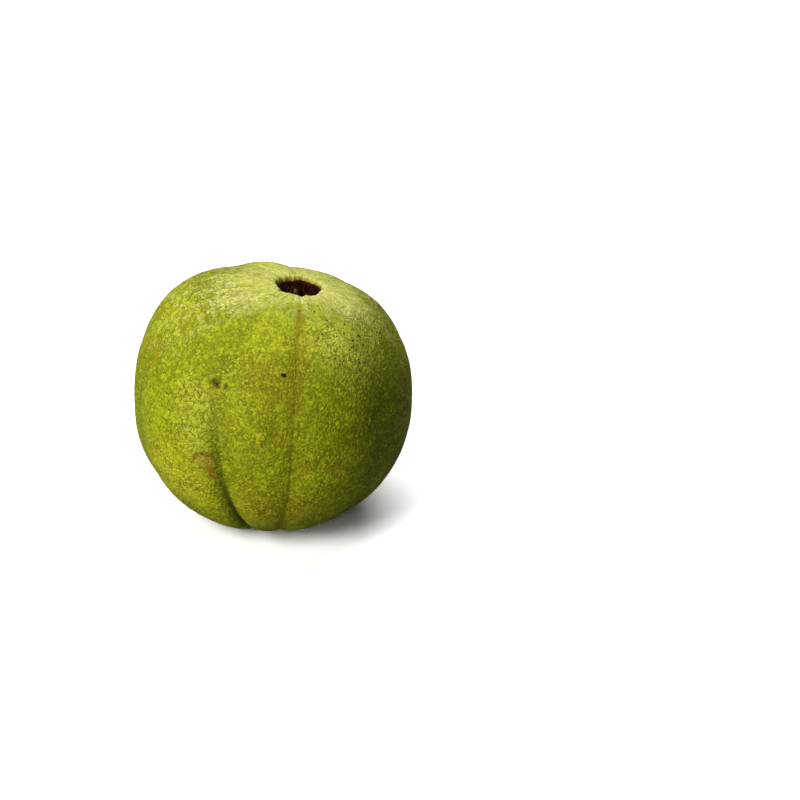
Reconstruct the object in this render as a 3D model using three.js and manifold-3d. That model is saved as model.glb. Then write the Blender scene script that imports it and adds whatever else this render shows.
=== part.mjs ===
// A whole green guava, standing on its stem end with the calyx up.
// Millimetres, +Z up; the front of the fruit faces -Y. The ground is Z = 0 and the origin
// lies on it, under the middle of the fruit's bounding box.
import * as THREE from 'three';
import { mergeVertices } from 'three/addons/utils/BufferGeometryUtils.js';
import Module from 'manifold-3d';

const wasm = await Module();
wasm.setup();

// Body of the fruit: a squat rounded form, told by its radius from the middle of the girth
const girthWidth = 94; // left to right
const depthRatio = 0.97; // front to back, as a share of the width
const crownHeight = 44.2; // from the girth up to the crown
const footHeight = 43.5; // from the girth down to the stem end
const crownFullness = 2.45; // exponent of the rounded form above the girth
const footFullness = 2.08; // and below it
const crownShift = 10.5; // the crown sits this far to the right of the foot
const shiftRise = 4.5; // how late up the fruit that shift comes in
const crownTilt = 7; // degrees, the crown tips down to the right

// Broad swellings of the body, each about a direction
const swells = [
  { towards: [-0.74, -0.1, 0.66], rise: 3.2, spread: 0.1 }, // left shoulder
  { towards: [-0.66, 0.36, 0.66], rise: 3.4, spread: 0.055 }, // back left shoulder
  { towards: [0.72, 0.1, 0.6], rise: -0.7, spread: 0.12 }, // right shoulder, a little lower
  { towards: [-0.22, 0.4, 0.89], rise: 1.4, spread: 0.02 }, // hump behind the mouth
  { towards: [-0.75, -0.2, -0.45], rise: 0.2, spread: 0.12 }, // lower left
];

// Gentle lumps that keep it from looking turned on a lathe
const lumps = [
  { across: [1.9, 0.6, -1.1], height: 0.6, phase: 0.4 },
  { across: [-0.8, 2.3, 1.2], height: 0.5, phase: 1.9 },
  { across: [2.9, -2.1, 0.9], height: 0.4, phase: 3.1 },
  { across: [-3.1, -1.4, 3.4], height: 0.3, phase: 4.4 },
  { across: [4.6, 3.2, 2.1], height: 0.2, phase: 0.9 },
  { across: [-4.4, 4.8, -3.9], height: 0.18, phase: 2.6 },
];

// Grooves between the lobes: azimuth at the foot and at the crown in degrees (-90 is the front),
// bow of the path half way, depth, half width in degrees, and the share of the depth left at the crown
const grooves = [
  { foot: -94, crown: -89.5, bow: 7.8, depth: 1.5, halfWidth: 7, left: 0.55 },
  { foot: -107.5, crown: -121, bow: 0, depth: 2.5, halfWidth: 4.8, left: 0.35 },
  { foot: -158, crown: -168, bow: 0, depth: 1.4, halfWidth: 8, left: 0.8 },
  { foot: -40, crown: -42, bow: 0, depth: 1.2, halfWidth: 8, left: 0.5 },
  { foot: 2, crown: 6, bow: 0, depth: 1.6, halfWidth: 8, left: 0.6 },
  { foot: 48, crown: 44, bow: 0, depth: 1.3, halfWidth: 8, left: 0.6 },
  { foot: 92, crown: 96, bow: 0, depth: 1.8, halfWidth: 8, left: 0.6 },
  { foot: 140, crown: 135, bow: 0, depth: 1.5, halfWidth: 8, left: 0.6 },
];
const grooveFade = 0.7; // how fast a groove dies out at the two ends

// Pit at the crown, with a shallow dip round its mouth
const dipDepth = 1.1;
const dipRadius = 10;
const pitDepth = 7.5;
const pitRadius = 6.8;
const pitWall = 0.45; // a larger value lets the wall slope more
const mouthWaves = [
  { count: 5, height: 0.3, phase: 0.8 },
  { count: 8, height: 0.2, phase: 2.2 },
];

// Hollow at the stem end, and the ring round it that is pressed flat where the fruit rests
const hollowDepth = 8.5;
const hollowRadius = 9.5;
const hollowEdge = 2.4; // exponent, a larger value makes the edge sharper
const flatPress = 0.7; // height of the lowest skin that is pressed flat

// Net of the fruit's faces
const meridians = 90;
const flankRings = 27;
const crownRingRadii = [2.2, 4.2, 5.5, 6.2, 6.7, 7.1, 7.5, 7.9, 8.4, 9.1, 10.2, 12, 14.6];
const footRingRadii = [17.4, 15.4, 13.9, 12.6, 11.3, 10, 8.6, 7, 5, 2.6];

// Dried calyx: a thin sloping ring inside the pit, with five withered lobes folded inwards.
// Heights are below the crown point of the body, before the pit is pressed into it.
const calyxRing = { topRadius: 6.5, topDrop: 2.1, footRadius: 5.1, footDrop: 6.9, thickness: 0.9 };
const calyxSides = 40;
const lobes = [
  { azimuth: 18, length: 4.1, width: 4.6, fold: 32 },
  { azimuth: 88, length: 4.4, width: 4.9, fold: 40 },
  { azimuth: 160, length: 3.9, width: 4.5, fold: 26 },
  { azimuth: 231, length: 4.2, width: 4.4, fold: 40 },
  { azimuth: 303, length: 4.0, width: 4.8, fold: 36 },
];
const lobeThickness = 0.8;
const lobeCurl = 38; // degrees that a lobe bends down between its root and its tip
const lobeRootDrop = 2.6;
const lobeRootRadius = 5.3;

// Withered style, standing on the pit's floor and leaning to the front left
const styleRadius = 1.0;
const styleTipRadius = 0.75;
const styleRoute = [[0.2, 0.3, -8.0], [0, 0, -6.6], [-0.6, -0.8, -4.8], [-1.5, -1.5, -2.3]];

// Woody stub of the stalk, in the hollow under the fruit
const stemRadius = 2.3;
const stemClear = 1.1; // from the cut end up from the ground
const stemGap = 1; // between the middle of the stub and the flesh, about 0.3 at its edge

const radians = THREE.MathUtils.degToRad;
const unit = ([x, y, z]) => new THREE.Vector3(x, y, z).normalize();
const crownNormal = new THREE.Vector3(Math.sin(radians(crownTilt)), 0, Math.cos(radians(crownTilt)));

// Radius of the plain rounded form at a polar angle from the crown
function plainRadius(polar) {
  const above = Math.cos(polar) > 0;
  const fullness = above ? crownFullness : footFullness;
  const height = above ? crownHeight : footHeight;
  const across = Math.abs(Math.sin(polar) / (girthWidth / 2)) ** fullness;
  const along = Math.abs(Math.cos(polar) / height) ** fullness;
  return (across + along) ** (-1 / fullness);
}

// How far the grooves press the skin in at this place
function grooveDepth(polar, azimuth) {
  let depth = 0;
  for (const groove of grooves) {
    const straight = THREE.MathUtils.lerp(groove.crown, groove.foot, polar / Math.PI);
    const middle = straight + groove.bow * Math.sin(polar);
    const away = THREE.MathUtils.euclideanModulo(azimuth - middle + 180, 360) - 180;
    const towardsFoot = 0.5 - 0.5 * Math.cos(polar);
    const strength = THREE.MathUtils.lerp(groove.left, 1, towardsFoot);
    depth += (groove.depth * strength) / (1 + (away / groove.halfWidth) ** 2);
  }
  return depth * Math.sin(polar) ** grooveFade;
}

// Radius of the body with its swells, lumps and grooves
function bodyRadius(polar, azimuth) {
  const direction = new THREE.Vector3(
    Math.sin(polar) * Math.cos(radians(azimuth)),
    Math.sin(polar) * Math.sin(radians(azimuth)),
    Math.cos(polar)
  );
  let radius = plainRadius(polar);
  for (const swell of swells) {
    radius += swell.rise * Math.exp(-(1 - direction.dot(unit(swell.towards))) / swell.spread);
  }
  for (const lump of lumps) {
    const turn = direction.dot(new THREE.Vector3(...lump.across)) + lump.phase;
    radius += lump.height * Math.sin(turn) * Math.sin(polar);
  }
  return radius - grooveDepth(polar, azimuth);
}

// Radius of the pit's wavy mouth
function mouthRadius(turn) {
  let radius = pitRadius;
  for (const wave of mouthWaves) radius += wave.height * Math.sin(wave.count * turn + wave.phase);
  return radius;
}

// A point of the fruit's skin, before it is pressed flat below
function skinPoint(polar, azimuth) {
  const radius = bodyRadius(polar, azimuth);
  const reach = radius * Math.sin(polar);
  const turn = radians(azimuth);
  const point = new THREE.Vector3(
    reach * Math.cos(turn),
    reach * Math.sin(turn) * depthRatio,
    radius * Math.cos(polar) + footHeight
  );
  const climb = THREE.MathUtils.clamp(point.z / (crownHeight + footHeight), 0, 1.1);
  point.z -= point.x * radians(crownTilt) * climb ** 2;
  point.x += crownShift * climb ** shiftRise;
  if (polar < Math.PI / 2) {
    const dip = dipDepth * Math.exp(-((reach / dipRadius) ** 2));
    const pit = pitDepth / (1 + Math.exp((reach - mouthRadius(turn)) / pitWall));
    point.addScaledVector(crownNormal, -(dip + pit));
  } else {
    point.z += hollowDepth * Math.exp(-((reach / hollowRadius) ** hollowEdge));
  }
  return point;
}

// Polar angles of the net's rings, close together where the pit and the hollow turn
function ringAngles() {
  const crown = crownRingRadii.map((radius) => Math.atan2(radius, crownHeight));
  const foot = footRingRadii.map((radius) => Math.PI - Math.atan2(radius, footHeight));
  const first = crown.at(-1);
  const last = foot[0];
  const flank = [];
  for (let i = 1; i <= flankRings; i++) {
    flank.push(THREE.MathUtils.lerp(first, last, i / (flankRings + 1)));
  }
  return [...crown, ...flank, ...foot];
}

// Closed mesh from a first point, equal rings and a last point
function ringedGeometry(firstPoint, rings, lastPoint) {
  const sides = rings[0].length;
  const points = [firstPoint, ...rings.flat(), lastPoint];
  const faces = [];
  const at = (ring, side) => 1 + ring * sides + (side % sides);
  for (let side = 0; side < sides; side++) {
    faces.push(0, at(0, side), at(0, side + 1));
    faces.push(points.length - 1, at(rings.length - 1, side + 1), at(rings.length - 1, side));
  }
  for (let ring = 0; ring < rings.length - 1; ring++) {
    for (let side = 0; side < sides; side++) {
      faces.push(at(ring, side), at(ring + 1, side), at(ring + 1, side + 1));
      faces.push(at(ring, side), at(ring + 1, side + 1), at(ring, side + 1));
    }
  }
  const geometry = new THREE.BufferGeometry().setFromPoints(points);
  geometry.setIndex(faces);
  geometry.computeVertexNormals();
  return geometry;
}

// The fruit, pressed flat at its lowest skin
function fruitGeometry() {
  const rings = ringAngles().map((polar) => {
    const ring = [];
    for (let side = 0; side < meridians; side++) ring.push(skinPoint(polar, (360 * side) / meridians));
    return ring;
  });
  const ground = Math.min(...rings.flat().map((point) => point.z)) + flatPress;
  const crownPoint = skinPoint(0, 0);
  const footPoint = skinPoint(Math.PI, 0);
  for (const point of [crownPoint, footPoint, ...rings.flat()]) {
    point.z = Math.max(point.z, ground) - ground;
  }
  return { geometry: ringedGeometry(crownPoint, rings, footPoint), ground, footPoint };
}

// A three.js geometry as a manifold solid, and back
function toSolid(geometry) {
  const bare = geometry.clone();
  bare.deleteAttribute('normal');
  bare.deleteAttribute('uv');
  const merged = mergeVertices(bare, 1e-4);
  const vertProperties = new Float32Array(merged.attributes.position.array);
  const triVerts = new Uint32Array(merged.index.array);
  return new wasm.Manifold(new wasm.Mesh({ numProp: 3, vertProperties, triVerts }));
}

function toGeometry(solid) {
  const mesh = solid.getMesh();
  const geometry = new THREE.BufferGeometry();
  geometry.setAttribute('position', new THREE.BufferAttribute(new Float32Array(mesh.vertProperties), 3));
  geometry.setIndex(new THREE.BufferAttribute(new Uint32Array(mesh.triVerts), 1));
  geometry.computeVertexNormals();
  return geometry;
}

// Ring of the calyx, round the crown's own axis, which follows the waves of the pit's mouth
function calyxRingGeometry() {
  const { topRadius, topDrop, footRadius, footDrop, thickness } = calyxRing;
  const profile = [
    [footRadius - thickness, -footDrop],
    [footRadius, -footDrop],
    [topRadius, -topDrop],
    [topRadius - thickness, -topDrop],
    [footRadius - thickness, -footDrop],
  ].map(([x, y]) => new THREE.Vector2(x, y));
  const ring = new THREE.LatheGeometry(profile, calyxSides).rotateX(Math.PI / 2);
  const place = ring.attributes.position;
  for (let i = 0; i < place.count; i++) {
    const turn = Math.atan2(place.getY(i), place.getX(i));
    const wave = mouthRadius(turn) - pitRadius;
    const x = place.getX(i) + wave * Math.cos(turn);
    const y = (place.getY(i) + wave * Math.sin(turn)) * depthRatio;
    place.setXY(i, x, y);
  }
  return ring;
}

// One withered lobe: a small blade that narrows to a point and curls down as it goes in
function lobeGeometry({ azimuth, length, width, fold }) {
  const blade = new THREE.BoxGeometry(length, width, lobeThickness, 5, 4, 1);
  const place = blade.attributes.position;
  const curl = radians(lobeCurl);
  for (let i = 0; i < place.count; i++) {
    const share = Math.max(place.getX(i) / length + 0.5, 0);
    const narrow = 1 - 0.86 * share ** 1.3;
    const bend = curl * share;
    const lift = place.getZ(i) - 0.35 * ((2 * place.getY(i)) / width) ** 2;
    const arc = length / curl;
    const hug = ((1 - share) * place.getY(i) ** 2) / (2 * lobeRootRadius);
    place.setXYZ(
      i,
      hug + (arc + lift) * Math.sin(bend),
      place.getY(i) * narrow,
      arc * (Math.cos(bend) - 1) + lift * Math.cos(bend)
    );
  }
  blade.rotateY(radians(fold));
  blade.rotateZ(Math.PI);
  blade.translate(lobeRootRadius + mouthRadius(radians(azimuth)) - pitRadius, 0, -lobeRootDrop);
  return blade.rotateZ(radians(azimuth));
}

function calyxGeometry() {
  let solid = toSolid(calyxRingGeometry());
  for (const lobe of lobes) solid = solid.add(toSolid(lobeGeometry(lobe)));
  return toGeometry(solid);
}

// Withered style, a bent peg that narrows a little to its broken tip
function styleGeometry() {
  const route = new THREE.CatmullRomCurve3(styleRoute.map((point) => new THREE.Vector3(...point)));
  const steps = 6;
  const sides = 9;
  const frames = route.computeFrenetFrames(steps, false);
  const rings = [];
  for (let step = 0; step <= steps; step++) {
    const radius = THREE.MathUtils.lerp(styleRadius, styleTipRadius, step / steps);
    const middle = route.getPoint(step / steps);
    const ring = [];
    for (let side = 0; side < sides; side++) {
      const turn = (2 * Math.PI * side) / sides;
      const point = middle.clone();
      point.addScaledVector(frames.normals[step], radius * Math.sin(turn));
      point.addScaledVector(frames.binormals[step], radius * Math.cos(turn));
      ring.push(point);
    }
    rings.push(ring);
  }
  return ringedGeometry(route.getPoint(0), rings, route.getPoint(1));
}

// Woody stub: a short peg, a little wider at its root, cut nearly square
function stemGeometry(length) {
  const profile = [
    [0, 0],
    [stemRadius * 0.86, 0],
    [stemRadius, length * 0.12],
    [stemRadius * 0.92, length * 0.6],
    [stemRadius * 1.12, length],
    [0, length],
  ].map(([x, y]) => new THREE.Vector2(x, y));
  return new THREE.LatheGeometry(profile, 16).rotateX(Math.PI / 2);
}

function mesh(name, geometry, color, roughness) {
  const material = new THREE.MeshStandardMaterial({ color, roughness, metalness: 0 });
  const piece = new THREE.Mesh(geometry, material);
  piece.name = name;
  return piece;
}

const { geometry: fruitSkin, ground, footPoint } = fruitGeometry();
fruitSkin.computeBoundingBox();
const boxMiddle = fruitSkin.boundingBox.getCenter(new THREE.Vector3());

const fruit = mesh('fruit', fruitSkin, 0x8f971f, 0.5);

// The calyx and the style share the crown's frame: its point and its tilt
const crown = new THREE.Group();
const climbAtCrown = (bodyRadius(0, 0) + footHeight) / (crownHeight + footHeight);
crown.position.set(crownShift * climbAtCrown ** shiftRise, 0, bodyRadius(0, 0) + footHeight - ground);
crown.rotation.y = radians(crownTilt);
crown.add(mesh('calyx', calyxGeometry(), 0x2e1a0e, 0.85));
crown.add(mesh('style', styleGeometry(), 0x6b6258, 0.8));

const stemTop = footPoint.z - stemGap;
const stem = mesh('stem', stemGeometry(stemTop - stemClear), 0x4a3423, 0.85);
stem.position.set(footPoint.x, footPoint.y, stemClear);

const guava = new THREE.Group();
guava.name = 'guava';
guava.position.set(-boxMiddle.x, -boxMiddle.y, 0);
guava.add(fruit, crown, stem);
guava.updateMatrixWorld(true);

export default guava;
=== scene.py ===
# A whole green guava on a white table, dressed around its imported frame.
# Sizes are in millimetres unless a name says otherwise; Blender's own units are metres.
import math

import bmesh
import bpy
from mathutils import Matrix, Vector, noise


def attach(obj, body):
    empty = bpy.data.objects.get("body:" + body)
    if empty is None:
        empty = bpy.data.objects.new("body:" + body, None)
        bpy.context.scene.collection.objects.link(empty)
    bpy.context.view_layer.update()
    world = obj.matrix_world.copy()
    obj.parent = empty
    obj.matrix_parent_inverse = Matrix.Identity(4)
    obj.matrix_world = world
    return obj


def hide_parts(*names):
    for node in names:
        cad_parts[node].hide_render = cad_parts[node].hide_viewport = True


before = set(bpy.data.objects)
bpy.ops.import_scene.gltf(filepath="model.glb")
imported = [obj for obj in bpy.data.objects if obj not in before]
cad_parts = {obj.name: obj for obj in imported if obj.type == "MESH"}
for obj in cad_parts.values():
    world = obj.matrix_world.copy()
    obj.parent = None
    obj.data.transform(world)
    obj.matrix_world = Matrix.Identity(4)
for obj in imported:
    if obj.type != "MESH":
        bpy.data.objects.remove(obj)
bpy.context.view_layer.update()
millimetre = 0.001


# Values inside a node tree, written as a formula

class Field:
    def __init__(self, socket):
        self.socket = socket
        self.tree = socket.id_data

    def __neg__(self):
        return calculate("MULTIPLY", self, -1.0)


def addOperator(name, operation):
    # a Field may stand on either side of the sign
    setattr(Field, f"__{name}__", lambda self, other: calculate(operation, self, other))
    setattr(Field, f"__r{name}__", lambda self, other: calculate(operation, other, self))


mathSigns = {"add": "ADD", "sub": "SUBTRACT", "mul": "MULTIPLY", "truediv": "DIVIDE", "pow": "POWER"}
for signName, signOperation in mathSigns.items():
    addOperator(signName, signOperation)


def plug(slot, value):
    # a Field is linked, anything else becomes the socket's own value
    if isinstance(value, Field):
        value.tree.links.new(value.socket, slot)
    else:
        slot.default_value = value


def newNode(tree, kind, settings=(), **inputs):
    # settings are the node's own properties; an underscore stands for the space in an input's name
    node = tree.nodes.new(kind)
    for key, value in dict(settings).items():
        setattr(node, key, value)
    for key, value in inputs.items():
        plug(node.inputs[key.replace("_", " ")], value)
    return node


def calculate(operation, *values, kind="ShaderNodeMath", output=0):
    tree = next(value.tree for value in values if isinstance(value, Field))
    node = newNode(tree, kind, {"operation": operation})
    for slot, value in zip(node.inputs, values):
        plug(slot, value)
    return Field(node.outputs[output])


def vectorMath(operation, *values):
    output = "Value" if operation == "DOT_PRODUCT" else "Vector"
    return calculate(operation, *values, kind="ShaderNodeVectorMath", output=output)


def stretchVector(vector, amount):
    settings = {"operation": "SCALE"}
    node = newNode(vector.tree, "ShaderNodeVectorMath", settings, Vector=vector, Scale=amount)
    return Field(node.outputs[0])


def makeVector(x, y, z):
    tree = next(value.tree for value in (x, y, z) if isinstance(value, Field))
    return Field(newNode(tree, "ShaderNodeCombineXYZ", X=x, Y=y, Z=z).outputs[0])


def splitVector(vector):
    return [Field(output) for output in newNode(vector.tree, "ShaderNodeSeparateXYZ", Vector=vector).outputs]


def ramp(value, low, high, kind="SMOOTHSTEP"):
    # 0 below low, 1 above high; low may be the larger of the two
    node = newNode(value.tree, "ShaderNodeMapRange", {"interpolation_type": kind}, Value=value)
    plug(node.inputs["From Min"], low)
    plug(node.inputs["From Max"], high)
    return Field(node.outputs["Result"])


def between(share, first, second):
    return first + (second - first) * share


def noiseOf(vector, scale, detail=2.0, roughness=0.5, distortion=0.0, output=0):
    node = newNode(vector.tree, "ShaderNodeTexNoise", Vector=vector, Scale=scale, Detail=detail,
                   Roughness=roughness, Distortion=distortion)
    return Field(node.outputs[output])


def loosen(vector, amount, source, scale, detail=2.0):
    # moves a vector about by noise that is read at another place and lies between -0.5 and 0.5
    wander = vectorMath("SUBTRACT", noiseOf(source, scale, detail, output="Color"), (0.5, 0.5, 0.5))
    return vectorMath("ADD", vector, stretchVector(wander, amount))


def sine(value):
    return calculate("SINE", value)


def cosine(value):
    return calculate("COSINE", value)


def naturalPower(value):
    return calculate("EXPONENT", value)


def absolute(value):
    return calculate("ABSOLUTE", value)


def largest(first, second):
    return calculate("MAXIMUM", first, second)


def smallest(first, second):
    return calculate("MINIMUM", first, second)


def openSocket(sockets, name):
    # of the sockets with that name, the one for the node's kind of data
    return [socket for socket in sockets if socket.name == name and socket.enabled][0]


# Objects, and the geometry trees that make them

def newObject(name, data):
    made = bpy.data.objects.new(name, data)
    bpy.context.scene.collection.objects.link(made)
    return made


def newGeometryTree(name, sizes):
    # a tree whose named inputs are the entries of a dictionary, in millimetres or plain numbers
    tree = bpy.data.node_groups.new(name, "GeometryNodeTree")
    tree.interface.new_socket("Geometry", in_out="OUTPUT", socket_type="NodeSocketGeometry")
    entry = tree.nodes.new("NodeGroupInput")
    identifiers = {}
    for key, value in sizes.items():
        socket = tree.interface.new_socket(key, in_out="INPUT", socket_type="NodeSocketFloat")
        socket.default_value = value
        identifiers[key] = socket.identifier
    return tree, {key: Field(entry.outputs[key]) for key in sizes}, identifiers


def geometryStep(kind, geometry, settings=(), **inputs):
    # one more node on the way of the geometry
    node = newNode(geometry.tree, "GeometryNode" + kind, settings, Geometry=geometry, **inputs)
    return Field(node.outputs[0])


def storeAttribute(geometry, name, value, kind="FLOAT"):
    settings = {"data_type": kind, "domain": "POINT"}
    return geometryStep("StoreNamedAttribute", geometry, settings, Name=name, Value=value)


def storedAttribute(tree, name, kind):
    node = newNode(tree, "GeometryNodeInputNamedAttribute", {"data_type": kind}, Name=name)
    return Field(openSocket(node.outputs, "Attribute"))


def pointPlace(tree):
    return Field(tree.nodes.new("GeometryNodeInputPosition").outputs[0])


def finishTree(geometry, material):
    # smooth, realized and painted: where every geometry tree ends
    smooth = geometryStep("SetShadeSmooth", geometry)
    painted = geometryStep("SetMaterial", geometryStep("RealizeInstances", smooth), Material=material)
    plug(geometry.tree.nodes.new("NodeGroupOutput").inputs["Geometry"], painted)


def runGeometryTree(name, sizes, tree, identifiers):
    # evaluates the tree on an empty mesh and keeps the result as a plain mesh object
    source = newObject(name + "Source", bpy.data.meshes.new(name + "Source"))
    modifier = source.modifiers.new("build", "NODES")
    modifier.node_group = tree
    for key, identifier in identifiers.items():
        modifier[identifier] = float(sizes[key])
    depsgraph = bpy.context.evaluated_depsgraph_get()
    mesh = bpy.data.meshes.new_from_object(source.evaluated_get(depsgraph), preserve_all_data_layers=True,
                                           depsgraph=depsgraph)
    bpy.data.objects.remove(source)
    mesh.name = name
    print(f"{name}: {len(mesh.vertices)} points, {len(mesh.polygons)} faces")
    return newObject(name, mesh)


# The fruit's body: the same formula and sizes as its solid, with finer relief on top

fruitSizes = {
    "girthWidth": 94.0,
    "depthRatio": 0.97,
    "crownHeight": 44.2,
    "footHeight": 43.5,
    "crownFullness": 2.45,
    "footFullness": 2.08,
    "crownShift": 10.5,
    "shiftRise": 4.5,
    "crownTilt": 7.0,
    "dipDepth": 1.1,
    "dipRadius": 10.0,
    "pitDepth": 7.5,
    "pitRadius": 6.8,
    "pitWall": 0.45,
    "hollowDepth": 8.5,
    "hollowRadius": 9.5,
    "hollowEdge": 2.4,
    "flatPress": 0.7,
    "lipRag": 1.3,
    "lipBump": 2.0,
    "pleatHeight": 0.5,
    "shoulderWrinkle": 1.0,
    "softLump": 0.5,
    "hollowPleat": 0.7,
    "stubCollar": 0.6,
    "collarRadius": 3.1,
}

fruitShape = {
    "swells": [
        ((-0.74, -0.1, 0.66), 3.2, 0.1),
        ((-0.66, 0.36, 0.66), 3.4, 0.055),
        ((0.72, 0.1, 0.6), -0.7, 0.12),
        ((-0.22, 0.4, 0.89), 1.4, 0.02),
        ((-0.75, -0.2, -0.45), 0.2, 0.12),
    ],
    "lumps": [
        ((1.9, 0.6, -1.1), 0.6, 0.4),
        ((-0.8, 2.3, 1.2), 0.5, 1.9),
        ((2.9, -2.1, 0.9), 0.4, 3.1),
        ((-3.1, -1.4, 3.4), 0.3, 4.4),
        ((4.6, 3.2, 2.1), 0.2, 0.9),
        ((-4.4, 4.8, -3.9), 0.18, 2.6),
    ],
    # azimuth at the foot and at the crown, bow half way, depth, half width in degrees, share at the crown
    "grooves": [
        (-94, -89.5, 7.8, 1.5, 7.0, 0.55),
        (-107.5, -121, 0, 2.5, 4.8, 0.35),
        (-158, -168, 0, 1.4, 8.0, 0.8),
        (-40, -42, 0, 1.2, 8.0, 0.5),
        (2, 6, 0, 1.6, 8.0, 0.6),
        (48, 44, 0, 1.3, 8.0, 0.6),
        (92, 96, 0, 1.8, 8.0, 0.6),
        (140, 135, 0, 1.5, 8.0, 0.6),
    ],
    "grooveFade": 0.7,
    "mouthWaves": [(5, 0.3, 0.8), (8, 0.2, 2.2)],
    # the thin seam down the front and the sharp crease where two lobes meet low on the left
    "seam": {"groove": 0, "depth": 0.2, "halfWidth": 1.0},
    "crease": {"groove": 1, "depth": 1.3, "halfWidth": 2.0},
    # net of faces: shares of the rings that lie on the crown, the flank and the foot
    "rings": 231,
    "meridians": 424,
    "crownShare": 0.26,
    "crownEdge": 0.36,
    "footShare": 0.1,
    "footEdge": 0.4,
    "closeUp": 0.002,
}

# what the body's points keep for its material
keptFields = ["crownReach", "polarShare", "pitShare", "hollowShare", "groovePress", "seamAway", "creaseAway",
              "creaseLow"]


def grooveAway(polar, azimuth, groove):
    # degrees from the middle of a groove, which runs a little aslant from crown to foot
    foot, crown, bow = groove[:3]
    middle = crown + polar * ((foot - crown) / math.pi) + bow * sine(polar)
    return absolute(calculate("WRAP", azimuth - middle, 180.0, -180.0))


def grooveProfile(away, halfWidth):
    return 1.0 / (1.0 + (away / halfWidth) ** 2.0)


def plainRadius(given, polar):
    upright = cosine(polar)
    above = calculate("GREATER_THAN", upright, 0.0)
    fullness = between(above, given["footFullness"], given["crownFullness"])
    height = between(above, given["footHeight"], given["crownHeight"])
    across = (largest(sine(polar), 0.0) / (given["girthWidth"] * 0.5)) ** fullness
    along = (absolute(upright) / height) ** fullness
    return (across + along) ** (-1.0 / fullness), above


def swellHeight(direction):
    total = 0.0
    for towards, rise, spread in fruitShape["swells"]:
        facing = vectorMath("DOT_PRODUCT", direction, Vector(towards).normalized())
        total = total + rise * naturalPower((facing - 1.0) / spread)
    return total


def lumpHeight(direction, side):
    total = 0.0
    for across, height, phase in fruitShape["lumps"]:
        turn = vectorMath("DOT_PRODUCT", direction, across) + phase
        total = total + height * sine(turn)
    return total * side


def grooveHeight(polar, azimuth, side):
    towardsFoot = 0.5 - 0.5 * cosine(polar)
    total = 0.0
    for groove in fruitShape["grooves"]:
        depth, halfWidth, left = groove[3:]
        strength = left + (1.0 - left) * towardsFoot
        total = total + depth * strength * grooveProfile(grooveAway(polar, azimuth, groove), halfWidth)
    return total * side ** fruitShape["grooveFade"]


def fineRelief(given, direction, polar, around, reach, crownLimit, footLimit):
    # what the plain solid leaves out: soft lumps, pleats at both ends and shoulder wrinkles
    soft = given["softLump"] * (noiseOf(direction, 5.5, 3.0, 0.55) - 0.5)
    streaks = noiseOf(around, 7.0, 3.0, 0.6)
    nearMouth = ramp(reach, 27.0, 9.0) * ramp(reach, 5.0, 8.5)
    pleats = given["pleatHeight"] * (streaks - 0.5) * nearMouth * crownLimit
    shoulder = vectorMath("DOT_PRODUCT", direction, Vector((-0.72, 0.22, 0.66)).normalized())
    wrinkleShare = ramp(shoulder, 0.78, 0.95)
    folds = noiseOf(loosen(around, 0.3, direction, 5.0), 13.0, 2.0, 0.5)
    wrinkles = given["shoulderWrinkle"] * (folds - 0.5) * wrinkleShare
    footPleats = noiseOf(around, 3.2, 2.0, 0.5)
    nearStem = ramp(reach, 22.0, 8.0) * ramp(reach, 1.0, 4.0)
    puckers = given["hollowPleat"] * (footPleats - 0.5) * nearStem * footLimit
    return soft + pleats + wrinkles + puckers


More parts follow.
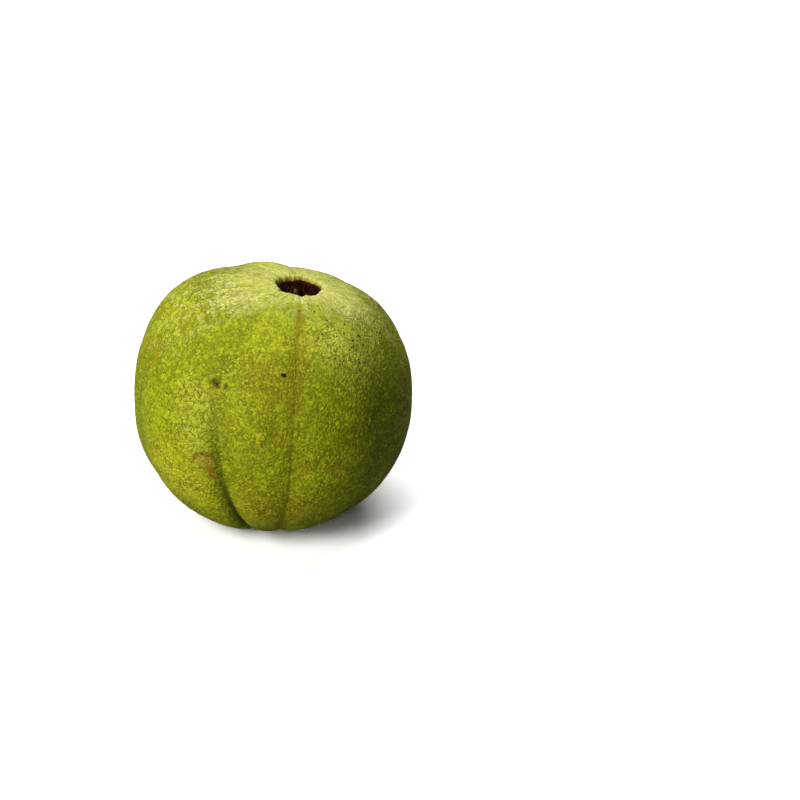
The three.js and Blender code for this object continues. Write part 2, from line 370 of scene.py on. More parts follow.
def buildFruitTree():
    tree, given, identifiers = newGeometryTree("guavaBody", fruitSizes)
    grid = newNode(tree, "GeometryNodeMeshGrid", Size_X=1.0, Size_Y=1.0, Vertices_X=fruitShape["rings"],
                   Vertices_Y=fruitShape["meridians"] + 1)
    alongGrid, acrossGrid, _ = splitVector(pointPlace(tree))
    down = alongGrid + 0.5

    # rings lie closer together at the pit and at the stem hollow
    flankStart, flankEnd = fruitShape["crownShare"], 1.0 - fruitShape["footShare"]
    crownPart = ramp(down, 0.0, flankStart, "LINEAR") * fruitShape["crownEdge"]
    flankAngle = math.pi - fruitShape["crownEdge"] - fruitShape["footEdge"]
    flankPart = ramp(down, flankStart, flankEnd, "LINEAR") * flankAngle
    footPart = ramp(down, flankEnd, 1.0, "LINEAR") * fruitShape["footEdge"]
    polar = crownPart + flankPart + footPart
    turn = acrossGrid * (2.0 * math.pi)
    azimuth = acrossGrid * 360.0

    side = largest(sine(polar), 0.0)
    direction = makeVector(side * cosine(turn), side * sine(turn), cosine(polar))
    around = makeVector(cosine(turn), sine(turn), polar * 0.12)
    radius, above = plainRadius(given, polar)
    groovePress = grooveHeight(polar, azimuth, side)
    radius = radius + swellHeight(direction) + lumpHeight(direction, side) - groovePress
    reach = radius * side
    crownLimit, footLimit = above, 1.0 - above

    # the plain form: rounded body, shifted and tipped crown
    height = radius * cosine(polar) + given["footHeight"]
    whole = given["crownHeight"] + given["footHeight"]
    climb = smallest(largest(height / whole, 0.0), 1.1)
    tilt = given["crownTilt"] * (math.pi / 180.0)
    x = reach * cosine(turn)
    y = reach * sine(turn) * given["depthRatio"]
    z = height - x * tilt * climb ** 2.0
    x = x + given["crownShift"] * climb ** given["shiftRise"]

    # the pit at the crown, with a ragged mouth, and the hollow at the stem end
    mouth = given["pitRadius"]
    for count, waveHeight, phase in fruitShape["mouthWaves"]:
        mouth = mouth + waveHeight * sine(turn * float(count) + phase)
    rag = noiseOf(around, 3.6, 3.0, 0.65) - 0.5
    raggedMouth = mouth + given["lipRag"] * 2.0 * rag
    dip = given["dipDepth"] * naturalPower(-((reach / given["dipRadius"]) ** 2.0))
    pitShare = 1.0 / (1.0 + naturalPower((reach - raggedMouth) / given["pitWall"]))
    atLip = ramp(reach, 5.0, 6.6) * ramp(reach, 10.0, 7.2)
    bump = given["lipBump"] * (noiseOf(around, 5.0, 2.0, 0.5) - 0.5) * atLip
    press = (dip - bump + given["pitDepth"] * pitShare) * crownLimit
    hollowShare = naturalPower(-((reach / given["hollowRadius"]) ** given["hollowEdge"]))
    x = x - press * sine(tilt)
    z = z - press * cosine(tilt) + given["hollowDepth"] * hollowShare * footLimit
    collar = given["stubCollar"] * naturalPower(-((reach / given["collarRadius"]) ** 4.0))
    z = z - collar * footLimit
    plainPlace = makeVector(x, y, z)

    # finer relief, and the seam and the crease, along the way out of the body
    relief = fineRelief(given, direction, polar, around, reach, crownLimit, footLimit)
    seam, crease = fruitShape["seam"], fruitShape["crease"]
    seamAway = grooveAway(polar, azimuth, fruitShape["grooves"][seam["groove"]])
    creaseAway = grooveAway(polar, azimuth, fruitShape["grooves"][crease["groove"]])
    seamPress = seam["depth"] * grooveProfile(seamAway, seam["halfWidth"])
    lowDown = ramp(polar, 1.3, 2.1) * ramp(polar, 2.72, 2.35)
    creasePress = crease["depth"] * grooveProfile(creaseAway, crease["halfWidth"]) * lowDown
    outwards = (relief - seamPress * side - creasePress) * (1.0 - pitShare * crownLimit * 0.5)
    detailedPlace = vectorMath("ADD", plainPlace, stretchVector(direction, outwards))

    # pressed flat below, then centred over the origin as the frame is
    geometry = Field(grid.outputs["Mesh"])
    kept = [reach, polar / math.pi, pitShare * crownLimit, hollowShare * footLimit, groovePress, seamAway,
            creaseAway, lowDown]
    for name, value in zip(keptFields, kept):
        geometry = storeAttribute(geometry, name, value)
    geometry = storeAttribute(geometry, "around", around, "FLOAT_VECTOR")
    geometry = storeAttribute(geometry, "detailedPlace", detailedPlace, "FLOAT_VECTOR")
    geometry = geometryStep("SetPosition", geometry, Position=plainPlace)
    spread = newNode(tree, "GeometryNodeAttributeStatistic", {"data_type": "FLOAT_VECTOR"}, Geometry=geometry)
    plug(openSocket(spread.inputs, "Attribute"), pointPlace(tree))
    lowX, lowY, lowZ = splitVector(Field(openSocket(spread.outputs, "Min")))
    highX, highY, _ = splitVector(Field(openSocket(spread.outputs, "Max")))
    ground = lowZ + given["flatPress"]
    detailX, detailY, detailZ = splitVector(storedAttribute(tree, "detailedPlace", "FLOAT_VECTOR"))
    finalPlace = makeVector(
        (detailX - (lowX + highX) * 0.5) * millimetre,
        (detailY - (lowY + highY) * 0.5) * millimetre,
        (largest(detailZ, ground) - ground) * millimetre,
    )
    geometry = geometryStep("SetPosition", geometry, Position=finalPlace)
    geometry = geometryStep("MergeByDistance", geometry, Distance=fruitShape["closeUp"] * millimetre)
    geometry = geometryStep("RemoveAttribute", geometry, Name="detailedPlace")
    finishTree(geometry, skinMaterial)
    return tree, identifiers


# Colours and materials

def screenColour(screen):
    # a colour as it looks on a screen, 0 to 255, or the name of a skin colour, as a shader's linear one
    screen = skinColours[screen] if isinstance(screen, str) else screen
    linear = [((v / 255 + 0.055) / 1.055) ** 2.4 if v > 10 else v / 255 / 12.92 for v in screen]
    return (*linear, 1.0)


def newMaterial(name):
    material = bpy.data.materials.new(name)
    material.use_nodes = True
    return material, material.node_tree


def finishMaterial(material, specular, roughness, colour, height):
    # height is the finest relief, in millimetres
    shader = material.node_tree.nodes["Principled BSDF"]
    bump = newNode(height.tree, "ShaderNodeBump", Strength=1.0, Distance=millimetre, Height=height)
    plug(shader.inputs["Specular IOR Level"], specular)
    plug(shader.inputs["Roughness"], roughness)
    plug(shader.inputs["Base Color"], colour)
    plug(shader.inputs["Normal"], Field(bump.outputs["Normal"]))
    return material


def mixColours(share, first, second):
    node = newNode(share.tree, "ShaderNodeMix", {"data_type": "RGBA"}, Factor=share)
    for slot, colour in zip([s for s in node.inputs if s.type == "RGBA"], (first, second)):
        plug(slot, colour)
    return Field([s for s in node.outputs if s.type == "RGBA"][0])


def paintOver(colour, share, screen):
    return mixColours(share, colour, screenColour(screen))


def paintCoats(colour, coats):
    # each coat is its share and its colour on a screen
    for share, screen in coats:
        colour = paintOver(colour, share, screen)
    return colour


def readAttribute(tree, name, output="Fac"):
    return Field(newNode(tree, "ShaderNodeAttribute", {"attribute_name": name}).outputs[output])


def objectPlace(tree):
    # Object coordinates in millimetres
    return stretchVector(Field(tree.nodes.new("ShaderNodeTexCoord").outputs["Object"]), 1.0 / millimetre)


def shiftPlace(place, scale, amount):
    # wanders a place about by up to amount, so that marks and lines don't come out ruled
    return loosen(place, amount * 2.0, place, scale)


def voronoiOf(vector, feature):
    return newNode(vector.tree, "ShaderNodeTexVoronoi", {"feature": feature}, Vector=vector, Scale=1.0)


def newShaderGroup(name, **inputs):
    # each input is a number, or None for a place
    group = bpy.data.node_groups.new(name, "ShaderNodeTree")
    for key, value in inputs.items():
        kind = "NodeSocketVector" if value is None else "NodeSocketFloat"
        socket = group.interface.new_socket(key, in_out="INPUT", socket_type=kind)
        if value is not None:
            socket.default_value = value
    entry = group.nodes.new("NodeGroupInput")
    return {key: Field(entry.outputs[key]) for key in inputs}


def finishShaderGroup(**outputs):
    # each output is a plain number
    group = next(iter(outputs.values())).tree
    for key in outputs:
        group.interface.new_socket(key, in_out="OUTPUT", socket_type="NodeSocketFloat")
    newNode(group, "NodeGroupOutput", **outputs)


def useGroup(name, place, **values):
    settings = {"node_tree": bpy.data.node_groups[name]}
    node = newNode(place.tree, "ShaderNodeGroup", settings, Place=place, **values)
    return {output.name: Field(output) for output in node.outputs}


def makePeelNet():
    # net of fine lines between cells of a given size: the line itself, and how far into a cell
    given = newShaderGroup("peelNet", Place=None, Cell=1.1, Line=0.08, Wobble=0.35)
    scaled = stretchVector(given["Place"], 1.0 / given["Cell"])
    warped = loosen(scaled, given["Wobble"] * 2.0, scaled, 1.1)
    edge = Field(voronoiOf(warped, "DISTANCE_TO_EDGE").outputs["Distance"])
    finishShaderGroup(Line=ramp(edge, given["Line"], 0.0), Pillow=ramp(edge, 0.0, 0.32))


def makePeelDots():
    # round dots, one in each cell that has one, with their own sizes
    given = newShaderGroup("peelDots", Place=None, Cell=1.8, Size=0.12, Few=0.5)
    scaled = stretchVector(given["Place"], 1.0 / given["Cell"])
    node = voronoiOf(scaled, "F1")
    away = Field(node.outputs["Distance"])
    chance, sizeShare, _ = splitVector(Field(node.outputs["Color"]))
    size = given["Size"] * (0.5 + sizeShare)
    finishShaderGroup(Dot=ramp(away, size, size * 0.4) * ramp(chance, given["Few"], given["Few"] + 0.02))


def makeMarkPatch():
    # a patch about the line between two places, full inside and fading over the soft share
    given = newShaderGroup("markPatch", Place=None, Start=None, End=None, Radius=1.0, Soft=0.5)
    fromStart = vectorMath("SUBTRACT", given["Place"], given["Start"])
    line = vectorMath("SUBTRACT", given["End"], given["Start"])
    square = largest(vectorMath("DOT_PRODUCT", line, line), 0.0001)
    along = vectorMath("DOT_PRODUCT", fromStart, line) / square
    along = smallest(largest(along, 0.0), 1.0)
    offset = vectorMath("SUBTRACT", fromStart, stretchVector(line, along))
    away = vectorMath("DOT_PRODUCT", offset, offset) ** 0.5
    finishShaderGroup(Share=ramp(away, given["Radius"], given["Radius"] * (1.0 - given["Soft"])))


def makeWitheredGrain():
    # dried plant tissue: lengthwise fibres, dark flecks and a height in millimetres
    given = newShaderGroup("witheredGrain", Place=None, Fine=1.0)
    scaled = stretchVector(given["Place"], given["Fine"])
    fibre = noiseOf(scaled, 2.2, 5.0, 0.6)
    fleck = ramp(noiseOf(scaled, 1.1, 3.0, 0.55), 0.52, 0.66)
    ridges = absolute(noiseOf(scaled, 1.7, 3.0, 0.5, 0.4) - 0.5)
    finishShaderGroup(Fibre=fibre, Fleck=fleck, Height=fibre * 0.12 - ridges * 0.3)


skinColours = {
    "olive": (126, 137, 2),
    "leaf": (160, 171, 18),
    "bright": (187, 197, 30),
    "brownish": (146, 128, 18),
    # pale crown skin, partly a painted sheen
    "crown": (208, 206, 112),
    "net": (90, 89, 2),
    "speck": (205, 207, 54),
    "pore": (50, 60, 4),
    # painted shade in the grooves and beside the crease
    "groove": (106, 116, 6),
    "seam": (128, 108, 4),
    # painted shade: the dark line down the crease
    "crease": (48, 56, 2),
    # painted highlight along the pit's near lip
    "lip": (210, 196, 142),
    "pitWall": (128, 104, 14),
    # painted shade deep in the pit
    "pitShade": (16, 8, 4),
    "hollow": (122, 112, 34),
    "hollowDeep": (82, 62, 26),
    "fibreDark": (136, 138, 26),
    "fibrePale": (220, 218, 150),
    "cloudDark": (109, 115, 1),
    "cloudPale": (184, 194, 28),
    "grainDark": (94, 103, 1),
    # painted shade along the seam's middle
    "seamShade": (92, 88, 4),
    "pitGold": (182, 164, 48),
}

leftPatchPlace = {"Start": (-28.0, -32.0, 62.0), "End": (-24.0, -38.0, 46.0), "Radius": 15.0, "Soft": 0.7}
poreZonePlace = {"Start": (14.0, -16.0, 82.0), "End": (25.0, -25.0, 71.0), "Radius": 15.0, "Soft": 0.7}

# broad marks, three of them painted highlights on the upper right and the left shoulder: where each starts
# and ends on the fruit, radius, soft share, strength, colour
skinMarksAndHighlights = [
    # painted sheen low on the upper right
    ((21, -27, 73), (27, -28, 66), 15, 0.9, 0.56, (204, 206, 88)),
    ((-34, -27, 34), (-13, -35, 19), 17, 0.9, 0.7, (208, 208, 44)),
    ((-19, -24, 78), (-33, -22, 68), 15, 0.8, 0.75, (136, 148, 0)),
    ((-40, -14, 68), (-46, -8, 44), 13, 0.8, 0.6, (130, 138, 2)),
    ((31, -30, 60), (31, -32, 38), 17, 0.9, 0.55, (92, 104, 0)),
    ((-25.9, -35.1, 60.2), (-24.1, -38.6, 49.3), 11, 0.8, 0.42, (190, 194, 74)),
    ((-2, -38, 71), (1.5, -40, 63), 10, 0.9, 0.42, (144, 120, 12)),
    ((-8, -42, 60), (-10, -43.5, 47), 10, 0.9, 0.4, (184, 190, 26)),
    ((-6, -38, 22), (7, -38, 22), 15, 0.9, 0.5, (172, 154, 24)),
    # painted highlight right of the pit's mouth
    ((21.3, -6.9, 82.2), (27, -12, 78), 12, 0.9, 0.55, (210, 210, 112)),
    # painted highlight on the left shoulder
    ((-14.8, -12.1, 84.7), (-8, -14, 83), 8, 0.9, 0.5, (204, 202, 126)),
    ((-6.6, -44.2, 47.9), (-6, -44.4, 45.5), 3.4, 0.9, 0.5, (108, 96, 12)),
    ((30, 25, 66), (38, 12, 48), 13, 0.9, 0.5, (182, 188, 60)),
    ((38, -18, 30), (42, 4, 26), 11, 0.9, 0.35, (124, 112, 8)),
    ((-26, 34, 52), (-12, 42, 38), 14, 0.9, 0.5, (186, 190, 72)),
    ((14, 40, 60), (20, 38, 44), 10, 0.9, 0.4, (128, 116, 10)),
    ((-40, 16, 62), (-42, 14, 48), 11, 0.9, 0.6, (140, 152, 0)),
    ((4, 32, 76), (-6, 34, 70), 9, 0.9, 0.4, (192, 192, 84)),
]

# small spots and the scar, as above, painted over the grain
skinSpots = [
    ((-36.6, -16.8, 72), (-39, -18, 66), 2.2, 0.9, 0.75, (148, 108, 20)),
    ((-25, -38.6, 40.2), (-21.6, -39.9, 39.6), 3, 0.9, 0.65, (160, 128, 44)),
    ((-27.4, -37.5, 38.6), (-26, -38.2, 41.7), 0.9, 0.8, 0.9, (112, 76, 20)),
    ((-26, -38.2, 41.7), (-23.5, -39.3, 42.9), 0.9, 0.8, 1, (106, 68, 18)),
    ((-23.5, -39.3, 42.9), (-20.7, -40.1, 42.2), 1.4, 0.8, 1, (98, 62, 18)),
    ((-20.7, -40.1, 42.2), (-19.5, -40.4, 39.7), 1, 0.8, 0.9, (106, 70, 20)),
    ((-22, -39.5, 37), (-19.6, -39.9, 33.6), 2, 0.9, 0.8, (130, 92, 24)),
    ((-18.5, -35, 66.3), (-17.7, -35.4, 65.2), 1.6, 0.7, 1.4, (72, 56, 6)),
    ((-15.1, -36.6, 65.6), (-15.1, -36.6, 65.2), 1, 0.6, 1.1, (78, 86, 8)),
    ((3.2, -38.4, 69.6), (3.7, -38.4, 69.6), 0.85, 0.45, 1.5, (20, 18, 4)),
    ((-41.6, -16.3, 60.9), (-41.6, -16.3, 60.5), 0.7, 0.5, 0.8, (60, 62, 12)),
    ((43.4, 10, 55), (43, 12, 53.5), 1.3, 0.8, 0.9, (104, 76, 20)),
    ((45.6, -4, 41), (45.6, -3.4, 41), 0.8, 0.5, 1.2, (34, 30, 6)),
    ((-6, 44, 52), (-3, 44.4, 50.5), 1.6, 0.9, 0.8, (124, 90, 28)),
    ((-3, 44.4, 50.5), (0.5, 44.4, 51.5), 1.2, 0.9, 0.9, (108, 74, 20)),
    ((26, 36, 58), (26.4, 35.8, 57.6), 0.8, 0.5, 1.2, (40, 34, 6)),
    ((-34, 28, 40), (-33, 29, 38), 1.5, 0.8, 0.7, (96, 78, 16)),
]


def skinGround(place):
    # broad patches of olive, leaf green, brighter and brownish skin
    broad = ramp(noiseOf(place, 0.045, 3.0, 0.55, 0.4), 0.36, 0.62)
    colour = mixColours(broad, screenColour("olive"), screenColour("leaf"))
    shifted = vectorMath("ADD", place, (37.0, 11.0, 5.0))
    farther = vectorMath("ADD", place, (-21.0, 53.0, 90.0))
    return paintCoats(colour, [
        (ramp(noiseOf(shifted, 0.09, 3.0, 0.6), 0.56, 0.74) * 0.7, "bright"),
        (ramp(noiseOf(farther, 0.09, 4.0, 0.62), 0.5, 0.68) * 0.6, "brownish"),
    ])


def paintMarks(place, colour, marks, fade):
    for start, end, radius, soft, strength, screen in marks:
        patch = useGroup("markPatch", place, Start=start, End=end, Radius=radius, Soft=soft)
        colour = paintOver(colour, patch["Share"] * strength * fade, screen)
    return colour


def makeSkin():
    material, tree = newMaterial("guavaSkin")
    place = objectPlace(tree)
    around = readAttribute(tree, "around", "Vector")
    reach, polar, pitShare, hollowShare, groovePress, seamAway, creaseAway, creaseLow = [
        readAttribute(tree, name) for name in keptFields]

    colour = skinGround(place)
    broadFade = 1.0 + 0.9 * (noiseOf(place, 0.9, 3.0, 0.6) - 0.5)
    # broad marks, and painted highlights on the upper right and the left shoulder
    colour = paintMarks(shiftPlace(place, 0.5, 0.9), colour, skinMarksAndHighlights, broadFade)

    # pale, streaky skin about the crown, running out over the shoulders, partly a painted sheen
    streaks = noiseOf(around, 7.0, 3.0, 0.6)
    shorter = vectorMath("ADD", loosen(around, 0.3, place, 0.2, 3.0), makeVector(0.0, 0.0, polar * 1.1))
    fineStreaks = noiseOf(shorter, 22.0, 3.0, 0.6)
    aroundX, aroundY, _ = splitVector(around)
    upper = ramp(polar, 0.42, 0.3)
    frontShare = ramp(-aroundY, 0.5, 0.95)
    sideShare = ramp(absolute(aroundX), 0.4, 0.95)
    spread = reach * (1.0 + 0.7 * frontShare - 0.2 * sideShare)
    streakMix = streaks * 0.55 + fineStreaks * 0.45 + ramp(spread, 32.0, 9.0) * upper * 0.12
    fibreZone = ramp(spread, 44.0, 22.0) * upper * 0.6
    creaseEnds = ramp(polar, 0.3, 0.48) * ramp(polar, 0.98, 0.9)
    colour = paintCoats(colour, [
        # pale crown colour: partly real pale skin, partly painted sheen
        (ramp(streakMix, 0.46, 0.6) * ramp(spread, 42.0, 14.0) * upper * 0.5, "crown"),
        (ramp(reach, 14.0, 8.5) * upper * 0.4, "crown"),
        (ramp(fineStreaks, 0.49, 0.38) * fibreZone, "fibreDark"),
        (ramp(fineStreaks, 0.5, 0.62) * fibreZone, "fibrePale"),
        # painted shade in the grooves' beds and beside the crease, under the net and the grain
        (ramp(groovePress, 0.7, 2.4) * 0.6, "groove"),
        (ramp(creaseAway, 7.5, 0.6) * creaseEnds * 0.8, "groove"),
    ])

    # the thin seam: a line between two brown ends, each with a wide glow; in the middle the line is painted
    # shade of the groove
    seamWave = (noiseOf(place, 0.3, 3.0, 0.6) - 0.5) * 2.4
    seamShadedMiddle = ramp(polar, 0.26, 0.37) * ramp(polar, 0.69, 0.61)
    seamEnds = ramp(polar, 0.1, 0.16) * ramp(polar, 0.97, 0.9)
    seamPatchy = 0.7 + 0.3 * ramp(noiseOf(place, 0.14, 3.0, 0.6), 0.4, 0.6)
    seamLine = ramp(absolute(seamAway + seamWave * 0.3), 1.1, 0.2) * (0.35 + 0.45 * seamShadedMiddle)
    seamGlow = ramp(absolute(seamAway + seamWave), 6.0, 1.2) * 0.55 * (1.0 - 0.75 * seamShadedMiddle)
    seamShare = largest(seamLine, seamGlow) * seamPatchy * seamEnds
    # brown at the ends, painted shade of the groove in the middle
    seamBrownAndShade = mixColours(seamShadedMiddle, screenColour("seam"), screenColour("seamShade"))
    colour = mixColours(seamShare, colour, seamBrownAndShade)

    # the net, coarse on the pale left patch and finer elsewhere, then grain, pale specks and dark pores
    netPlace = shiftPlace(place, 0.35, 0.5)
    fineNet = useGroup("peelNet", netPlace, Cell=1.5, Line=0.17, Wobble=0.55)
    coarseNet = useGroup("peelNet", netPlace, Cell=2.5, Line=0.1, Wobble=0.7)
    patchy = ramp(noiseOf(place, 0.16, 3.0, 0.6), 0.38, 0.66)
    calmCrown = ramp(reach, 14.0, 30.0) * upper + (1.0 - upper)
    leftPatch = useGroup("markPatch", place, **leftPatchPlace)["Share"]
    poreZone = useGroup("markPatch", place, **poreZonePlace)["Share"]
    coarseShare = coarseNet["Line"] * (0.36 + 0.45 * leftPatch + 0.34 * patchy) * calmCrown
    fineShare = fineNet["Line"] * (0.5 + 0.5 * patchy) * (1.0 - leftPatch * 0.5) * calmCrown
    grain = noiseOf(place, 1.1, 4.0, 0.75)
    cloud = noiseOf(place, 0.42, 3.0, 0.65)
    grainShare = calmCrown * 0.4 + 0.25
    speckPlace = shiftPlace(place, 0.8, 0.4)
    specks = useGroup("peelDots", speckPlace, Cell=1.3, Size=0.26, Few=0.45)["Dot"]
    pores = useGroup("peelDots", place, Cell=1.5, Size=0.32, Few=0.25)["Dot"]
    poreShare = (0.13 + 0.87 * poreZone) * (ramp(reach, 11.0, 18.0) * upper + (1.0 - upper))
    colour = paintCoats(colour, [
        (fineShare, "net"),
        (coarseShare, "net"),
        (ramp(cloud, 0.5, 0.34) * grainShare * 0.8, "cloudDark"),
        (ramp(cloud, 0.52, 0.68) * grainShare * 0.7, "cloudPale"),
        (ramp(grain, 0.5, 0.34) * grainShare, "grainDark"),
        (ramp(grain, 0.52, 0.7) * grainShare * 0.75, "speck"),
        (specks * (0.25 + 0.5 * patchy) * calmCrown, "speck"),
        (pores * poreShare, "pore"),
    ])
    spotFade = 0.55 + 0.45 * ramp(grain, 0.58, 0.4)
    colour = paintMarks(shiftPlace(place, 0.9, 0.6), colour, skinSpots, spotFade)

    # the seam, whose middle is painted shade, and the crease, a painted shadow line, once more, so that the
    # grain only partly covers them
    colour = mixColours(seamShare * 0.6, colour, seamBrownAndShade)
    creaseLine = ramp(creaseAway, 2.4, 0.2) * creaseLow
    # painted shadow line down the crease
    colour = paintOver(colour, creaseLine * 0.85, "crease")

    # the lip, with a painted highlight on its near side, the wall, the floor of the pit, darkened as painted
    # shade, and the hollow round the stub
    nearSide = ramp(aroundY, 0.3, -0.3)
    # painted highlight: the lip is paler only on its near side
    nearLipHighlight = ramp(pitShare, 0.01, 0.07) * ramp(pitShare, 0.34, 0.16) * nearSide
    colour = paintOver(colour, nearLipHighlight * 0.75, "lip")
    wallShare = ramp(pitShare, 0.02, 0.12) * (1.0 - nearSide * 0.8)
    wallColour = mixColours(ramp(cloud, 0.38, 0.62), screenColour("pitWall"), screenColour("pitGold"))
    colour = mixColours(wallShare * 0.85, colour, wallColour)
    hollowStreaks = noiseOf(around, 9.0, 3.0, 0.6) - 0.5
    colour = paintCoats(colour, [
        # painted shade: the pit's skin goes nearly black towards its floor
        (ramp(pitShare + (cloud - 0.5) * 0.6, 0.2, 0.38), "pitShade"),
        (ramp(hollowShare + hollowStreaks * 0.5, 0.25, 0.9) * 0.6, "hollow"),
        (ramp(hollowShare + hollowStreaks * 0.3, 0.88, 1.02) * 0.75, "hollowDeep"),
    ])

    roughness = 0.5 + 0.16 * grain + 0.14 * ramp(pitShare, 0.1, 0.5)
    height = (grain - 0.5) * 0.22 + (fineStreaks - 0.5) * 0.35 * ramp(reach, 34.0, 12.0) * upper
    cells = fineNet["Pillow"] * 0.12 + coarseNet["Pillow"] * (0.05 + 0.15 * leftPatch)
    return finishMaterial(material, 0.1, roughness, colour, height - creaseLine * 0.2 + cells * calmCrown)


def makeWithered(name, dark, light, fine, specular, roughness):
    # dried brown tissue, paler along its fibres and at its thin edges
    material, tree = newMaterial(name)
    grain = useGroup("witheredGrain", objectPlace(tree), Fine=fine)
    colour = mixColours(ramp(grain["Fibre"], 0.36, 0.7), screenColour(dark), screenColour(light))
    colour = paintCoats(colour, [
        (grain["Fleck"] * 0.6, [0.6 * v for v in dark]),
        (readAttribute(tree, "edgeShare") * 0.6, [min(1.35 * v + 16, 255) for v in light]),
    ])
    return finishMaterial(material, specular, roughness, colour, grain["Height"])


def makeWood():
    # bark of the stub, and its paler end with the rings of the cut
    material, tree = newMaterial("woodyStem")
    place = objectPlace(tree)
    grain = useGroup("witheredGrain", place, Fine=0.9)
    barkShare = ramp(grain["Fibre"], 0.34, 0.68)
    bark = mixColours(barkShare, screenColour((62, 44, 24)), screenColour((122, 98, 62)))
    bark = paintOver(bark, readAttribute(tree, "fissure") * 0.8, (34, 22, 12))
    endReach = readAttribute(tree, "endReach")
    rings = sine(endReach * 26.0 + noiseOf(place, 1.5, 2.0) * 4.0) * 0.5 + 0.5
    cut = mixColours(rings, screenColour((150, 122, 80)), screenColour((176, 150, 106)))
    cut = paintOver(cut, ramp(endReach, 0.22, 0.1), (96, 70, 40))
    colour = mixColours(readAttribute(tree, "cutShare"), bark, cut)
    return finishMaterial(material, 0.2, 0.8, colour, grain["Height"] * 0.8)


makePeelNet()
makePeelDots()
makeMarkPatch()
makeWitheredGrain()
skinMaterial = makeSkin()
calyxMaterial = makeWithered("driedCalyx", (11, 3, 1), (51, 20, 7), 1.0, 0.03, 0.9)
styleMaterial = makeWithered("witheredStyle", (28, 17, 13), (88, 70, 60), 1.4, 0.15, 0.6)
stamenMaterial = makeWithered("driedStamens", (15, 6, 2), (60, 30, 11), 1.2, 0.05, 0.85)
stemMaterial = makeWood()
print("materials")

fruit = runGeometryTree("guavaFruit", fruitSizes, *buildFruitTree())
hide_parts("fruit")
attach(fruit, "root")
print("fruit body")


# Pieces in the pit and under the fruit, as rings of points joined by faces

crownFrame = {
    "place": (10.09, -0.67, 85.13),
    "tilt": 7.0,
}


def inCrown(point):
    turn = Matrix.Rotation(math.radians(crownFrame["tilt"]), 3, "Y")
    return Vector(crownFrame["place"]) + turn @ Vector(point)


def roughly(point, scale, seed=0.0):
    # smooth noise between about -0.5 and 0.5
    return 0.5 * noise.noise(Vector(point) * scale + Vector((seed, seed * 1.7, -seed)))


def joinRings(points, faces, first, sides, closed=False):
    # joins the rings of points from first on; closed, the last ring meets the first, as on a hoop,
    # and otherwise each end gets a point in its middle and a fan
    count = (len(points) - first) // sides
    for ring in range(count if closed else count - 1):
        here = first + ring * sides
        there = first + ((ring + 1) % count) * sides
        for side in range(sides):
            after = (side + 1) % sides
            faces.append((here + side, here + after, there + after, there + side))
    for ring in () if closed else (0, count - 1):
        here = first + ring * sides
        points.append(sum((Vector(p) for p in points[here:here + sides]), Vector()) / sides)
        for side in range(sides):
            faces.append((here + side, here + (side + 1) % sides, len(points) - 1))


def makePiece(name, points, faces, attributes, material):
    mesh = bpy.data.meshes.new(name)
    mesh.from_pydata([Vector(point) * millimetre for point in points], [], faces)
    shape = bmesh.new()
    shape.from_mesh(mesh)
    bmesh.ops.recalc_face_normals(shape, faces=shape.faces)
    shape.to_mesh(mesh)
    shape.free()
    for key, values in attributes.items():
        mesh.attributes.new(key, "FLOAT", "POINT").data.foreach_set("value", values)
    mesh.shade_smooth()
    mesh.materials.append(material)
    print(f"{name}: {len(mesh.vertices)} points, {len(mesh.polygons)} faces")
    return newObject(name, mesh)


calyxSizes = {
    "topRadius": 6.8,
    "topDrop": 2.0,
    "footRadius": 5.1,
    "footDrop": 6.9,
    "ringThickness": 0.75,
    "ringEdge": 0.22,
    "ringSides": 360,
    "ringSteps": 20,
    # azimuth, length, width and fold in degrees
    "lobes": [(18, 4.1, 4.6, 32), (88, 4.4, 4.9, 40), (160, 3.9, 4.5, 26), (231, 4.2, 4.4, 40),
              (303, 4.0, 4.8, 36)],
    "lobeRootRadius": 5.3,
    "lobeRootDrop": 2.6,
    "lobeCurl": 38.0,
    "lobeThickness": 0.55,
    "lobeSteps": 40,
    "lobeSides": 24,
}


def mouthWave(turn):
    return sum(height * math.sin(count * turn + phase) for count, height, phase in fruitShape["mouthWaves"])


def calyxRing(points, edges):
    # a shrivelled, upright-folded hoop along the pit's wall with a torn upper edge
    sizes = calyxSizes
    steps = sizes["ringSteps"]
    for side in range(sizes["ringSides"]):
        turn = math.tau * side / sizes["ringSides"]
        circle = (math.cos(turn), math.sin(turn), 0.0)
        folds = roughly(circle, 9.0) * 0.55 + roughly(circle, 26.0, 3.0) * 0.3
        torn = roughly(circle, 6.0, 7.0) * 1.3 + roughly(circle, 22.0, 9.0) * 0.8
        for step in range(2 * steps):
            outer = step < steps
            share = (step + 0.5) / steps if outer else (2 * steps - step - 0.5) / steps
            thick = between(share ** 1.5, sizes["ringThickness"], sizes["ringEdge"])
            radius = between(share, sizes["footRadius"], sizes["topRadius"]) + mouthWave(turn)
            radius += folds * (0.35 + 0.65 * share) - (0.0 if outer else thick)
            drop = between(share, sizes["footDrop"], sizes["topDrop"] - torn * share)
            place = (radius * circle[0], radius * circle[1] * fruitSizes["depthRatio"], -drop)
            points.append(inCrown(place))
            edges.append(max(0.0, share * 3.0 - 2.0) * (0.6 + roughly(circle, 14.0, 2.0)))


